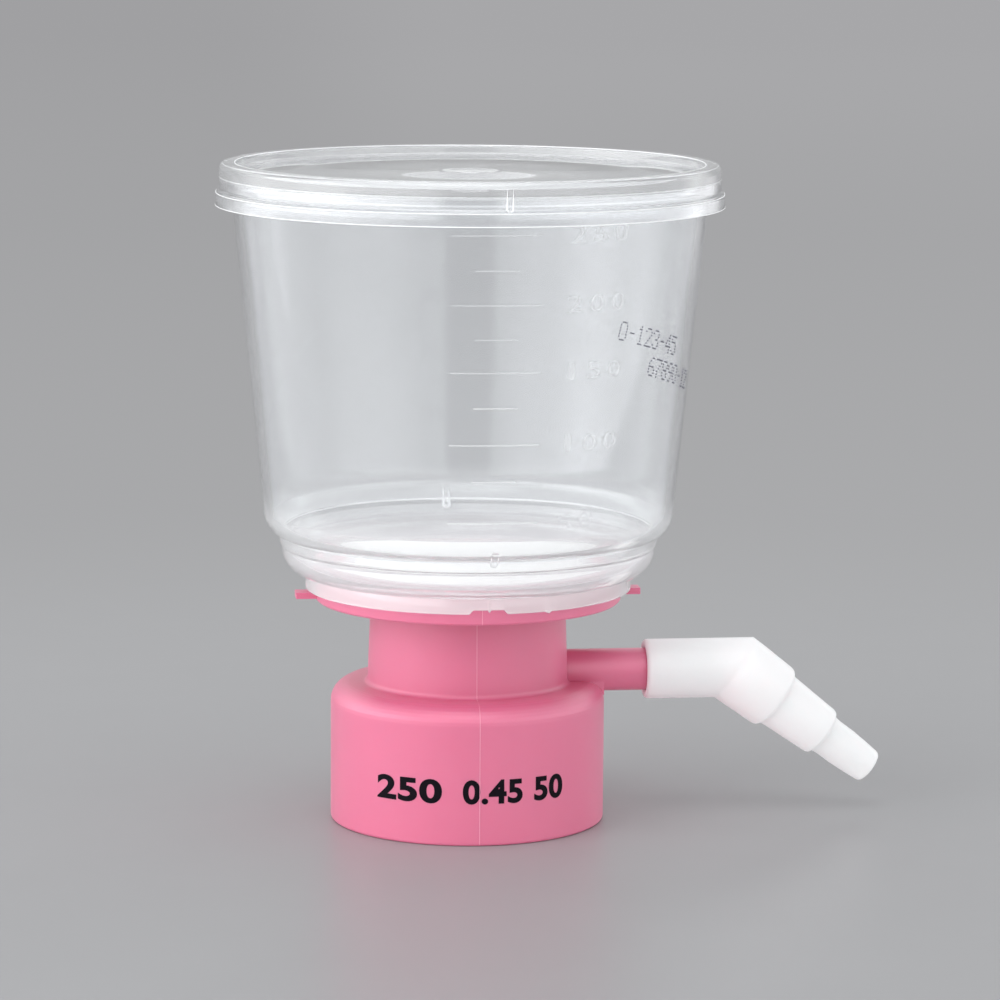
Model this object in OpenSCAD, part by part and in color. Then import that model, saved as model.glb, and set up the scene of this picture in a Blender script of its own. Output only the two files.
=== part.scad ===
// Bottle-top vacuum filtration unit: a clear 250 ml funnel with a lid, welded
// over a membrane to a one-piece adapter that screws onto a 45 mm bottle neck.
// Z is up. The origin is on the axis at the foot of the cap, and +X runs along
// the vacuum nozzle.

/* [Bottle cap] */
// Inside diameter at the root of the bottle thread
thread_root_d = 45.3; // [38:0.1:54]
// Thickness of the cap's side wall
cap_wall = 1.55; // [1.2:0.05:2.5]
// Height from the foot to the top of the cap's shoulder
cap_h = 24.4; // [20:0.1:33]
// Radius of the cap's rounded shoulder
cap_shoulder_round = 3.4; // [1:0.1:5]
// Thickness of the land that the seal lies against
land_t = 2.4; // [2.3:0.1:6]
// Thickness of the seal ring
seal_t = 1.8; // [1:0.1:2.5]
// How far the seal's seat is narrower than the thread bore, on the radius
seal_ledge = 0.35; // [0.2:0.05:0.8]

/* [Neck and nozzle] */
// Outside diameter of the neck where it leaves the cap
neck_d = 35.4; // [28:0.1:38]
// How much the neck has narrowed at the flange, on the radius
neck_draft = 0.6; // [0.1:0.05:0.7]
// Thickness of the neck's wall
neck_wall = 1.6; // [1.2:0.05:2.5]
// Height of the neck from the cap to the flange
neck_len = 14.8; // [9:0.1:20]
// Outside diameter of the vacuum nozzle
nozzle_d = 7.5; // [6:0.1:8.5]
// Bore of the vacuum nozzle
nozzle_bore = 3.8; // [2:0.1:4.5]
// How far the nozzle runs out past the side of the cap
nozzle_len = 19.3; // [15:0.1:26]
// How far the nozzle's axis lies above the top of the cap
nozzle_rise = 1.5; // [0.5:0.1:3]

/* [Membrane and flange] */
// Diameter of the filter membrane
membrane_d = 50; // [42:0.5:60]
// Thickness of the filter membrane
membrane_t = 0.2; // [0.1:0.05:0.3]
// Ring of flange outside the membrane
flange_margin = 1.9; // [1.5:0.1:4]
// Height of the flange's rim
flange_h = 4.8; // [4.5:0.1:7]
// Thickness of the plate under the membrane
plate_t = 2.6; // [2.4:0.1:3.5]
// Depth of the drained well between the support ribs
well_depth = 1; // [0.6:0.1:1.2]
// Bore of the drain spout
drain_bore = 6; // [3:0.1:9]
// Number of ribs that carry the membrane
support_ribs = 24; // [12:2:36]
// Number of stiffening webs below the flange
web_count = 12; // [6:1:24]
// Length, width and thickness of the two ears on the rim
ear_size = [3.6, 3.4, 1.1]; // [0.8:0.1:5]

/* [Funnel] */
// Height from the flange's top face to the funnel's mouth
funnel_h = 69.3; // [55:0.1:90]
// Thickness of the funnel's wall
funnel_wall = 1.5; // [1:0.05:1.8]
// Widening of the wall from the shoulder to the mouth, for each mm of height
wall_taper = 0.1; // [0.02:0.01:0.15]
// Thickness of the skirt that is welded over the flange
skirt_wall = 1.85; // [1.2:0.05:2.5]
// How far the skirt reaches down over the flange
skirt_drop = 2.6; // [1.5:0.1:2.8]
// How far the bowl stands out past the skirt
bowl_out = 3.7; // [3:0.1:5]
// How far the shoulder stands out past the bowl's collar
shoulder_out = 2.5; // [1:0.1:3.2]
// Width of the floor ring that holds the membrane down
clamp_w = 1.5; // [1:0.1:3]
// Width of the notch in the skirt's lower edge
notch_w = 6.6; // [4:0.1:10]

/* [Lid] */
// Thickness of the lid's plate and skirt
lid_wall = 1.2; // [0.9:0.05:1.8]
// Height of the rim that stands above the plate
rim_h = 1.5; // [0.8:0.1:2.5]
// Width of the standing rim
rim_w = 2.8; // [1.8:0.1:4]
// Depth of the skirt below the plate
lid_skirt_h = 4.7; // [3.5:0.1:8]
// Height of the wider step at the skirt's lower edge
lid_step_h = 2.4; // [1:0.1:3]
// How far that step stands out
lid_step_out = 0.75; // [0.3:0.05:1.5]

/* [Hose connector] */
// Outside diameter of the socket that pushes onto the nozzle
socket_d = 10.6; // [10:0.1:12.5]
// Length of the socket to the middle of the bend
socket_len = 16.3; // [14:0.1:20]
// How far the nozzle reaches into the socket
socket_grip = 12; // [8:0.1:13.5]
// Angle of the bend
bend = 37; // [0:1:60]
// Diameters of the three hose steps at their roots
step_d = [12.8, 10.1, 7.1]; // [7:0.1:14]
// How much each hose step narrows to its end
step_loss = [0.6, 1, 0.9]; // [0:0.1:1.2]
// Lengths of the three hose steps
step_len = [9.4, 9.2, 9.3]; // [7:0.1:12]
// Length of the slope between two hose steps
step_slope = 1.6; // [0.8:0.1:3]
// Length of the straight land at the root of the smallest step
tail_land = 3; // [2:0.1:5]
// Bore of the hose connector
hose_bore = 3.4; // [2:0.1:4.2]

/* [Fits] */
// Clearance round the nozzle inside the turning socket
swivel_gap = 0.05; // [0.02:0.01:0.1]
// Clearance round the funnel's mouth inside the lid
lid_gap = 0.15; // [0.1:0.05:0.4]
// Clearance of parts that are laid in or welded
seat_gap = 0.05; // [0.02:0.01:0.15]

/* [Hidden] */
$fn = 96;
over = 1;          // how far a cutter runs past the face it cuts
foot_round = 0.5;  // small rounding at the foot of the cap

// Radii of the adapter, from the bottle outwards and upwards
thread_r = thread_root_d / 2;
seat_r = thread_r - seal_ledge;
cap_r = thread_r + cap_wall;
neck_r = neck_d / 2;
neck_in = neck_r - neck_wall;
neck_top = neck_r - neck_draft;
neck_fillet = 0.8;
shoulder_round = min(cap_shoulder_round, cap_r - neck_r - neck_fillet);
membrane_r = membrane_d / 2;
flange_r = membrane_r + flange_margin;
rim_in = flange_r - 1.7;
window_r = membrane_r - clamp_w;
drain_r = drain_bore / 2;
drain_out = drain_r + 1.3;

// Heights of the adapter
land_z = cap_h - land_t;
seal_z = land_z - seal_t;
nozzle_z = cap_h + nozzle_rise;
flange_z = cap_h + neck_len;
flange_top = flange_z + flange_h;
plate_z = flange_top - plate_t;
bed_z = flange_top - membrane_t;
floor_z = bed_z - well_depth;
drain_fall = 0.4;                          // fall of the well's floor to the drain
drain_tip_z = seal_z + 0.6;
nozzle_tip = cap_r + nozzle_len;

// Funnel: the skirt, a round bowl, a collar, a round shoulder and the tapered wall
skirt_in = flange_r + seat_gap;
skirt_r = skirt_in + skirt_wall;
skirt_z = flange_top - skirt_drop;
ear_z = skirt_z - 0.6 - ear_size[2];       // the ears lie just below the skirt
bowl_r = skirt_r + bowl_out;
bowl_round = bowl_out + 1;
bowl_z = flange_top + 3.1;
collar_z = bowl_z + 0.7;
collar_r = bowl_r + 0.6;
shoulder_r = collar_r + 0.25 + shoulder_out;
shoulder_curve = 4.55;
shoulder_foot = -acos(1 - shoulder_out / shoulder_curve);
shoulder_z = flange_top + 9.9;
mouth_z = flange_top + funnel_h;
mouth_r = shoulder_r + wall_taper * (mouth_z - shoulder_z);
floor_top = flange_top + 1.2;
bead_h = 1.2;                              // bead round the mouth
bead_r = mouth_r + 0.35;

// Lid, seated just above the funnel's mouth
plate_under = mouth_z + 0.1;
plate_top = plate_under + lid_wall;
lid_in = bead_r + lid_gap;
lid_r = lid_in + lid_wall + 0.1;
rim_in_r = lid_r - rim_w;
rim_round = min(1.3, rim_w / 2);
lid_z = plate_under - lid_skirt_h;

// Hose connector
nozzle_r = nozzle_d / 2;
socket_x = nozzle_tip - socket_grip;
bend_x = socket_x + socket_len;
socket_r = socket_d / 2;
step_r = step_d / 2;
end_r = (step_d - step_loss) / 2;
end_1 = step_len[0];                       // distances from the bend
root_2 = end_1 + step_slope;
end_2 = root_2 + step_len[1];
root_3 = end_2 + step_slope;
end_3 = root_3 + step_len[2];

// Points of an arc, in the plane of a profile
function arc(x, y, r, from, to, n = 8) =
  [for (i = [0:n]) let (a = from + (to - from) * i / n) [x + r * cos(a), y + r * sin(a)]];

// A cylinder along +X that starts at x, at the height z
module rod(x, z, r, length) {
  translate([x, 0, z]) rotate([0, 90, 0]) cylinder(r = r, h = length);
}

// Copies of a part at equal angles
module around(count) {
  for (i = [0:count - 1]) rotate([0, 0, 360 * i / count]) children();
}

// A narrow sector of a turned profile, centred on the angle at
module sector(at, width) {
  rotate([0, 0, at - width / 2]) rotate_extrude(angle = width) children();
}

// ---- adapter: cap, neck, flange and nozzle in one moulding -------------

module adapter_wall() {
  rotate_extrude() polygon(concat(
    [[thread_r + 0.3, 0], [cap_r - foot_round, 0]],
    arc(cap_r - foot_round, foot_round, foot_round, -90, 0, 4),
    arc(cap_r - shoulder_round, cap_h - shoulder_round, shoulder_round, 0, 90),
    arc(neck_r + neck_fillet, cap_h + neck_fillet, neck_fillet, 270, 180, 4),
    [[neck_top, plate_z],
     [rim_in, plate_z], [rim_in, flange_z],
     [flange_r - 0.3, flange_z], [flange_r, flange_z + 0.3],
     [flange_r, flange_top],
     [membrane_r + seat_gap, flange_top], [membrane_r + seat_gap, bed_z],
     [window_r, bed_z], [window_r, floor_z],
     [drain_r + 0.5, floor_z - drain_fall], [drain_r, floor_z - drain_fall - 0.5],
     [drain_r, drain_tip_z], [drain_out - 0.3, drain_tip_z],
     [drain_out, drain_tip_z + 2], [drain_out, plate_z],
     [neck_in - 0.25, plate_z], [neck_in, land_z],
     [seat_r, land_z], [seat_r, seal_z],
     [thread_r, seal_z], [thread_r, 0.3]]));
}

module support_rib(inner) {
  translate([inner, -0.4, floor_z - drain_fall - 0.2])
    cube([window_r - inner + 0.2, 0.8, bed_z - floor_z + drain_fall + 0.2]);
}

module flange_web() {
  translate([neck_top - 0.3, -0.6, flange_z + 0.6])
    cube([rim_in - neck_top + 0.5, 1.2, plate_z - flange_z - 0.4]);
}

module ear() {
  translate([flange_r - 1, -ear_size[1] / 2, ear_z])
    cube([ear_size[0] + 1, ear_size[1], ear_size[2]]);
}

module nozzle() {
  rod(neck_in + 0.4, nozzle_z, nozzle_r, nozzle_tip - 0.5 - neck_in - 0.4);
  translate([nozzle_tip - 0.5, 0, nozzle_z]) rotate([0, 90, 0])
    cylinder(r1 = nozzle_r, r2 = nozzle_r - 0.35, h = 0.5);
  // saddle that fills the shoulder of the cap below the nozzle
  intersection() {
    translate([neck_in + 0.4, 0.3 - nozzle_r, land_z])
      cube([cap_r - neck_in, nozzle_d - 0.6, nozzle_z - land_z]);
    cylinder(r = cap_r, h = cap_h);
  }
}

module adapter() {
  color("pink") difference() {
    union() {
      adapter_wall();
      around(support_ribs / 2) support_rib(drain_r + 1.5);
      rotate([0, 0, 360 / support_ribs]) around(support_ribs / 2) support_rib(window_r / 2);
      around(web_count) rotate([0, 0, 180 / web_count]) flange_web();
      around(2) ear();
      nozzle();
    }
    translate([0, 0, -over]) cylinder(r = thread_r, h = seal_z + over);
    cylinder(r = seat_r, h = land_z);
    rod(neck_in - over, nozzle_z, nozzle_bore / 2, nozzle_tip - neck_in + 2 * over);
  }
}

// ---- soft parts inside --------------------------------------------------

module seal_ring() {
  color("white") rotate_extrude() polygon([
    [neck_in + 0.3, seal_z], [seat_r - seat_gap, seal_z],
    [seat_r - seat_gap, land_z], [neck_in + 0.3, land_z]]);
}

module membrane() {
  color("white") translate([0, 0, bed_z]) cylinder(r = membrane_r, h = membrane_t);
}

// ---- funnel -------------------------------------------------------------

// Outside of the funnel, from the skirt's foot to the mouth
function funnel_outside() = concat(
  [[skirt_in, skirt_z], [skirt_r - 0.25, skirt_z], [skirt_r, skirt_z + 0.25]],
  arc(bowl_r - bowl_round, bowl_z, bowl_round, -acos(1 - bowl_out / bowl_round), 0),
  [[bowl_r + 0.15, collar_z], [collar_r, collar_z + 0.2]],
  arc(shoulder_r - shoulder_curve, shoulder_z, shoulder_curve, shoulder_foot, 0),
  [[mouth_r - wall_taper * bead_h, mouth_z - bead_h - 0.3],
   [bead_r, mouth_z - bead_h + 0.1], [bead_r, mouth_z - 0.3], [bead_r - 0.3, mouth_z]]);

// Inside of the funnel, from the mouth down to the window over the membrane
function funnel_inside() = let (
    in_curve = shoulder_curve - funnel_wall,
    in_round = bowl_round - funnel_wall,
    bowl_foot = -asin((bowl_z - floor_top) / in_round)
  ) concat(
  [[mouth_r - funnel_wall, mouth_z]],
  arc(shoulder_r - shoulder_curve, shoulder_z, in_curve, 0, shoulder_foot),
  [[collar_r - funnel_wall, collar_z + 0.2], [bowl_r - funnel_wall, collar_z - 0.2]],
  arc(bowl_r - bowl_round, bowl_z, in_round, 0, bowl_foot),
  [[window_r + 0.4, floor_top], [window_r, floor_top - 0.4],
   [window_r, flange_top], [skirt_in, flange_top]]);

// A small upright lug across the inside of the shoulder
module shoulder_lug(at) {
  in_curve = shoulder_curve - funnel_wall;
  centre_r = shoulder_r - shoulder_curve;
  foot = 0.8 * shoulder_foot;
  sector(at, 1.9) polygon(concat(
    [[centre_r + in_curve + 0.3, shoulder_z + 1.2]],
    arc(centre_r, shoulder_z, in_curve + 0.3, 0, foot, 5),
    arc(centre_r, shoulder_z, in_curve - 0.8, foot, 0, 5)));
}

// Notch in the skirt with a small moulding mark left in the middle
module skirt_notch() {
  depth = 0.72;
  rotate([90, 0, 0]) translate([0, skirt_z, skirt_in - over])
    linear_extrude(skirt_wall + 2 * over) polygon([
      [-notch_w / 2 - 0.2, -0.3], [-notch_w / 2 + 0.5, depth],
      [-0.5, depth], [-0.2, depth - 0.3], [0.2, depth - 0.3], [0.5, depth],
      [notch_w / 2 - 0.5, depth], [notch_w / 2 + 0.2, -0.3]]);
}

module funnel() {
  color("aliceblue", 0.4) difference() {
    union() {
      rotate_extrude() polygon(concat(funnel_outside(), funnel_inside()));
      shoulder_lug(90);
      shoulder_lug(270);
    }
    skirt_notch();
  }
}

// ---- lid ----------------------------------------------------------------

module lid() {
  step_z = lid_z + lid_step_h;
  color("aliceblue", 0.4) difference() {
    rotate_extrude() polygon(concat(
      [[0, plate_under], [lid_in, plate_under],
       [lid_in, step_z + 0.2], [lid_in + lid_step_out, step_z - 0.4],
       [lid_in + lid_step_out + 0.05, lid_z],
       [lid_r + lid_step_out, lid_z], [lid_r + lid_step_out - 0.1, step_z - 0.2],
       [lid_r + 0.1, step_z + 0.4]],
      arc(lid_r - rim_round, plate_top + rim_h - rim_round, rim_round, 0, 90),
      arc(rim_in_r + 0.5, plate_top + rim_h - 0.5, 0.5, 90, 180, 4),
      [[rim_in_r, plate_top], [0, plate_top]]));
    // two shallow grooves inside the skirt let air in round the mouth
    around(2) translate([-0.65, -lid_in - 0.6, step_z - over])
      cube([1.3, over + 0.6, plate_under - step_z + over]);
  }
}

// ---- hose connector -----------------------------------------------------

// The leg below the bend, turned about +Z before it is swung into place
module connector_leg() {
  rotate_extrude() polygon([
    [0, 0], [step_r[0], 0],
    [end_r[0], end_1 - 0.5], [end_r[0] - 0.5, end_1],
    [step_r[1], root_2], [end_r[1], end_2 - 0.4], [end_r[1] - 0.4, end_2],
    [step_r[2], root_3], [step_r[2], root_3 + tail_land],
    [end_r[2], end_3 - 0.6], [end_r[2] - 0.6, end_3], [0, end_3]]);
}

module hose_connector() {
  bore_r = hose_bore / 2;
  color("white") difference() {
    union() {
      rod(socket_x, nozzle_z, socket_r, socket_len + socket_r * sin(bend));
      translate([bend_x, 0, nozzle_z]) rotate([0, 90 + bend, 0]) connector_leg();
    }
    rod(socket_x - over, nozzle_z, nozzle_r + swivel_gap, socket_grip + 0.5 + over);
    translate([socket_x, 0, nozzle_z]) rotate([0, 90, 0])
      cylinder(r1 = nozzle_r + 0.5, r2 = nozzle_r + swivel_gap, h = 0.5);
    rod(nozzle_tip, nozzle_z, bore_r, bend_x - nozzle_tip);
    translate([bend_x, 0, nozzle_z]) sphere(r = bore_r);
    translate([bend_x, 0, nozzle_z]) rotate([0, 90 + bend, 0])
      cylinder(r = bore_r, h = end_3 + over);
  }
}

adapter();
seal_ring();
membrane();
funnel();
lid();
hose_connector();
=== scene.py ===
# %% [markdown]
# # A bottle-top vacuum filtration unit
# The CAD model of this filter is finished: its sizes, its moving lid and its turning hose
# connector are fixed. This lesson gives it its looks. Loading comes first, because
# everything is placed by it.

# %% Load the frame
import math

import bmesh
import bpy
import numpy as np
from mathutils import Matrix, Vector


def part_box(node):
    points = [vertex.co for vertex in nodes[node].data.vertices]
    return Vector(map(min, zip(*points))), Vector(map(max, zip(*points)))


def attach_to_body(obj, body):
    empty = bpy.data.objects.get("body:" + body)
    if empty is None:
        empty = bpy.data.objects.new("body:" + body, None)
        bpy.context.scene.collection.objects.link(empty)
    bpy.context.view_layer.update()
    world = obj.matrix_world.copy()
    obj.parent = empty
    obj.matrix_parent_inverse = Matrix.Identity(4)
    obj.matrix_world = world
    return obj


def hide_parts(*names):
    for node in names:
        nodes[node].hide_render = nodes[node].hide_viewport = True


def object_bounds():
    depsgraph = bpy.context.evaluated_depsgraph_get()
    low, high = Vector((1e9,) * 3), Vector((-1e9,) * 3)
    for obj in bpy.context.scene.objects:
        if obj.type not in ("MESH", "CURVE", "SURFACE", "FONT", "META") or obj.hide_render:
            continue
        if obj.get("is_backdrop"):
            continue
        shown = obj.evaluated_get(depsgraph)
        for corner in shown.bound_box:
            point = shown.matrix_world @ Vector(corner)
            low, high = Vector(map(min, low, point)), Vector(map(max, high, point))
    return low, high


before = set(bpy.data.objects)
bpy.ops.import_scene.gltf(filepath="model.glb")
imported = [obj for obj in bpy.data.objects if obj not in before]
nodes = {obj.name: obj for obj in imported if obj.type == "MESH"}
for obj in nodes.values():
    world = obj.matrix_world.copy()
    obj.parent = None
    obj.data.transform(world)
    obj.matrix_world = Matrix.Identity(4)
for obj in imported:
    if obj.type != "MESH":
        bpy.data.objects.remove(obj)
cad_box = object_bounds()
mm = 0.001

# %% [markdown]
# The heights and radii of the mouldings are needed again and again. Those that the frame
# can tell are read from its boxes, so that they can't drift from the CAD model. The walls
# and curves inside a moulding aren't in its box, so they are repeated here by name.

# %% Sizes of the mouldings
foot_z, flange_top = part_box("adapter")[0].z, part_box("adapter")[1].z
skirt_z, mouth_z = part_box("funnel")[0].z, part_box("funnel")[1].z
lid_z, lid_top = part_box("lid")[0].z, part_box("lid")[1].z
cap_r = 24.2 * mm
# The funnel's wall, in millimetres: where it starts, how thick it is and how it leans out.
wall_foot_r, wall_foot_z, wall_thick, wall_taper = 35.85, 53.9, 1.5, 0.1
heights = (foot_z, flange_top, skirt_z, mouth_z, lid_z, lid_top)
print("foot, flange, skirt, mouth and lid at", [round(z / mm, 1) for z in heights])

def wall_r(z):
    """Radius of the outside of the funnel's wall at a height, in millimetres."""
    return wall_foot_r + wall_taper * (z - wall_foot_z)

# %% [markdown]
# Both the materials and the Geometry Nodes trees are made of nodes. Placing each one by
# hand hides the recipe behind long lists of links, so one small class wraps a socket:
# plus, minus, times, divided by and powers add their Math nodes, and `node` adds any other
# kind from its settings and the values or links of its inputs.

# %% A recipe for node trees
class Value:
    """One output socket. Arithmetic on it adds Math nodes to its tree."""

    def __init__(self, tree, socket):
        self.tree, self.socket = tree, socket

    def math(self, operation, *terms):
        return node(self.tree, "ShaderNodeMath", {"operation": operation}, dict(enumerate(terms)))

    def __add__(self, other): return self.math("ADD", self, other)
    def __radd__(self, other): return self.math("ADD", other, self)
    def __sub__(self, other): return self.math("SUBTRACT", self, other)
    def __rsub__(self, other): return self.math("SUBTRACT", other, self)
    def __mul__(self, other): return self.math("MULTIPLY", self, other)
    def __rmul__(self, other): return self.math("MULTIPLY", other, self)
    def __truediv__(self, other): return self.math("DIVIDE", self, other)
    def __rtruediv__(self, other): return self.math("DIVIDE", other, self)
    def __pow__(self, other): return self.math("POWER", self, other)
    def __rpow__(self, other): return self.math("POWER", other, self)

    def out(self, name):
        """Another output of the same node."""
        return Value(self.tree, self.socket.node.outputs[name])

def node(tree, kind, settings=None, values=None, out=0):
    """Adds one node: settings first, then the value or the link of each named input."""
    made = tree.nodes.new(kind)
    for name, value in (settings or {}).items():
        if name == "stops":
            ramp = made.color_ramp
            while len(ramp.elements) < len(value):
                ramp.elements.new(1.0)
            for element, (at, colour) in zip(ramp.elements, value):
                element.position, element.color = at, (*colour, 1.0)
        else:
            setattr(made, name, value)
    for name, value in (values or {}).items():
        if isinstance(value, Value):
            tree.links.new(value.socket, made.inputs[name])
        else:
            made.inputs[name].default_value = value
    return Value(tree, made.outputs[out]) if len(made.outputs) else made

print("recipe ready")

# %% [markdown]
# ## The camera and the studio
# The unit is seen from a little above and a little to the left, with a long lens from
# less than a metre, so that its circles stay nearly flat. The camera is made first,
# because the lamps are then placed around what it sees.

# %% Directions and objects
def direction(azimuth, elevation=0.0):
    """A unit vector from the unit: azimuth 0 is towards -Y, and grows towards +X."""
    a, e = math.radians(azimuth), math.radians(elevation)
    return Vector((math.sin(a) * math.cos(e), -math.cos(a) * math.cos(e), math.sin(e)))

def new_object(name, data, *materials):
    """A new object in the scene."""
    made = bpy.data.objects.new(name, data)
    bpy.context.scene.collection.objects.link(made)
    for material in materials:
        data.materials.append(material)
    return made

print("azimuth 90 points to", [round(c, 3) for c in direction(90)])

# %% Camera
camera = new_object("camera", bpy.data.cameras.new("camera"))
bpy.context.scene.camera = camera
camera.data.sensor_width, camera.data.lens = 36.0, 152.3
camera.data.clip_start, camera.data.clip_end = 0.05, 60.0
camera_azimuth, camera_away, camera_height = -6.5, 0.735, 0.1727
toward_camera = direction(camera_azimuth)
to_the_right = Vector((-toward_camera.y, toward_camera.x, 0.0))
aim = to_the_right * 5.53 * mm + Vector((0, 0, 56.68 * mm))
camera.location = toward_camera * camera_away + Vector((0, 0, camera_height))
look = (aim - camera.location).to_track_quat("-Z", "Y").to_matrix().to_4x4()
roll = Matrix.Rotation(math.radians(0.393), 4, "Z")
camera.matrix_world = Matrix.Translation(camera.location) @ look @ roll
print("camera at", [round(c, 3) for c in camera.location])

# %% [markdown]
# The studio is a light tent on a pale grey sheet. Its lamps are wide and soft, and light
# the unit mostly from the left. Clear plastic shows what it mirrors, and the sharp edge
# of a lamp would cut its wall in two, so the lamps are left out of mirror images, and
# the tent's walls, whose glow fades softly, are what the plastic mirrors.

# %% Lamps
middle = Vector((0, 0, 0.06))

def hang(name, lamp, location):
    """Hangs up a lamp that gives light but is never seen itself."""
    made = new_object(name, lamp)
    made.location = location
    made.visible_camera = made.visible_glossy = made.visible_transmission = False
    return made

def soft_box(name, azimuth, elevation, distance, width, height, brightness):
    """A rectangular lamp that faces the unit's middle. Brightness is how white it looks."""
    lamp = bpy.data.lights.new(name, "AREA")
    lamp.shape, lamp.size, lamp.size_y = "RECTANGLE", width, height
    lamp.energy = brightness * math.pi * width * height
    made = hang(name, lamp, middle + direction(azimuth, elevation) * distance)
    made.rotation_euler = (middle - made.location).to_track_quat("-Z", "Y").to_euler()

soft_box("key_left", -64, 16, 1.1, 0.9, 0.9, 2.9)
soft_box("fill_right", 62, 8, 1.2, 0.8, 0.7, 0.9)
soft_box("overhead", -20, 72, 1.0, 0.7, 0.5, 1.7)
soft_box("rim_right", 128, 8, 1.0, 0.3, 0.6, 2.2)

# %% A narrow beam from above
beam_height, beam_reach = 0.44, 0.026
beam = bpy.data.lights.new("top_beam", "SPOT")
beam.energy, beam.shadow_soft_size = 3.0, 0.004
beam.spot_size, beam.spot_blend = 2 * math.atan(beam_reach / beam_height), 0.25
hang("top_beam", beam, (0, 0, flange_top + beam_height))

# %% [markdown]
# The camera sees only the floor sheet, which runs on as far as it can see, so the world
# is free to be the tent. Its level is worked out from the direction: grey behind the
# unit, white at the sides and overhead, and dark in the slot that the camera looks
# through. Light Path tells what a ray is for: rays that carry light get the plain level,
# mirror images get the glow of the walls, and what is seen straight through clear
# plastic gets the same tone as the background.

# %% World
world = bpy.data.worlds.new("studio_air")
bpy.context.scene.world = world
world.use_nodes = True
air = world.node_tree
backdrop_tone = 0.39

def between(tree, value, low, high):
    """0 below `low`, 1 above `high` and a smooth step between them."""
    return node(tree, "ShaderNodeMapRange", {"interpolation_type": "SMOOTHSTEP"},
                {"Value": value, "From Min": low, "From Max": high})

def toward(azimuth, elevation):
    """The cosine of the angle between a world ray and a direction."""
    way = direction(azimuth, elevation)
    return ray * way.x + ray.out("Y") * way.y + ray.out("Z") * way.z

def glow(azimuth, elevation, outer, inner):
    """1 within `inner` degrees of a direction, fading to 0 at `outer` degrees."""
    edge, core = math.cos(math.radians(outer)), math.cos(math.radians(inner))
    return between(air, toward(azimuth, elevation), edge, core)

ray = node(air, "ShaderNodeSeparateXYZ", values={"Vector": node(air, "ShaderNodeTexCoord")})
up = ray.out("Z")
grey_behind = between(air, ray.out("Y"), 0.35, 0.85) * (1.0 - between(air, up, 0.22, 0.5))
camera_slot = glow(camera_azimuth, 3, 17, 8)
walls = (1.0 - between(air, up, 0.3, 0.7)) * (1.0 - grey_behind)
plain = 0.85 - 0.4 * grey_behind - 0.4 * camera_slot
bright_walls = (0.95 + 1.3 * glow(-61, 4, 42, 4) + 0.6 * glow(52, 4, 34, 4)
                + 1.6 * glow(-105, 6, 55, 20) + 1.2 * glow(128, 8, 24, 6))
ceiling = 2.2 * glow(-12, 52, 34, 8)
mirrored = plain + walls * bright_walls * (1.0 - camera_slot) + ceiling

# %% Light Path chooses the level
kind = node(air, "ShaderNodeLightPath")
glossy, diffuse = kind.out("Glossy Depth"), kind.out("Diffuse Depth")
undiffused = 1.0 - diffuse.math("MINIMUM", diffuse, 1.0)
bounced = glossy.math("MINIMUM", glossy, 1.0)
in_mirror = kind.math("MAXIMUM", bounced, kind.out("Is Transmission Ray")) * undiffused
level = plain + in_mirror * (mirrored - plain)
level = level + kind * (backdrop_tone - level)
air.links.new(level.socket, air.nodes["Background"].inputs["Strength"])
air.nodes["Background"].inputs["Color"].default_value = (0.99, 1.0, 1.015, 1)
bpy.context.scene.view_settings.view_transform = "Standard"
print("world has", len(air.nodes), "nodes")

# %% Materials
def new_material(name):
    """A new material, its tree and its Principled shader."""
    made = bpy.data.materials.new(name)
    made.use_nodes = True
    return made, made.node_tree, made.node_tree.nodes["Principled BSDF"]

def link(value, shader, socket):
    """Joins an output to a named input of a shader."""
    value.tree.links.new(value.socket, shader.inputs[socket])

def fix(shader, **values):
    """Sets plain inputs of a shader; an underscore in a name stands for a space."""
    for name, value in values.items():
        shader.inputs[name.replace("_", " ")].default_value = value

def show(tree, surface):
    """Makes a shader the surface of its material."""
    tree.links.new(surface, tree.nodes["Material Output"].inputs["Surface"])

# %% Blends
def mix_shaders(tree, factor, first, second):
    """One shader socket blended from two."""
    both = node(tree, "ShaderNodeMixShader", values={"Fac": factor}).socket
    tree.links.new(first, both.node.inputs[1])
    tree.links.new(second, both.node.inputs[2])
    return both

def mix_colour(tree, factor, first, second):
    """A blend of two colours, each three numbers or the output of a node."""
    first, second = [c if isinstance(c, Value) else (*c, 1) for c in (first, second)]
    return node(tree, "ShaderNodeMix", {"data_type": "RGBA"}, {0: factor, 6: first, 7: second}, out=2)

def paint(shader, factor, first, second):
    """The blend of two colours as the base colour of a shader."""
    link(mix_colour(factor.tree, factor, first, second), shader, "Base Color")

# %% [markdown]
# Near the unit the sheet is real satin paper that takes its soft shadow and its faint
# mirror image. Far away it turns into an emitted tone with painted light falloff, darker
# further off and lighter to the right, and in mirror images brighter at the sides, as the
# tent's walls. Light Path keeps that tone out of the light on the unit, which the sheet
# throws back from below as white paper would.

# %% Floor sheet
sheet = bpy.data.meshes.new("studio_floor")
ring = 96
turns = [2 * math.pi * i / ring for i in range(ring)]
reach = [0.02, 0.06, 0.12, 0.25, 0.5, 1.0, 2.0, 4.0, 8.0]
just_below = foot_z - 0.02 * mm
points = [(0, 0, just_below)]
points += [(r * math.cos(t), r * math.sin(t), just_below) for r in reach for t in turns]
faces = [(0, 1 + i, 1 + (i + 1) % ring) for i in range(ring)]
for k in range(len(reach) - 1):
    a, b = 1 + k * ring, 1 + (k + 1) * ring
    faces += [(a + i, b + i, b + (i + 1) % ring, a + (i + 1) % ring) for i in range(ring)]
sheet.from_pydata(points, [], faces)
paper, tree, shader = new_material("grey_sheet")
place = node(tree, "ShaderNodeTexCoord").out("Object")
mottle = node(tree, "ShaderNodeTexNoise", values={"Vector": place, "Scale": 60.0, "Detail": 2.0})
rays = node(tree, "ShaderNodeLightPath")
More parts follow.
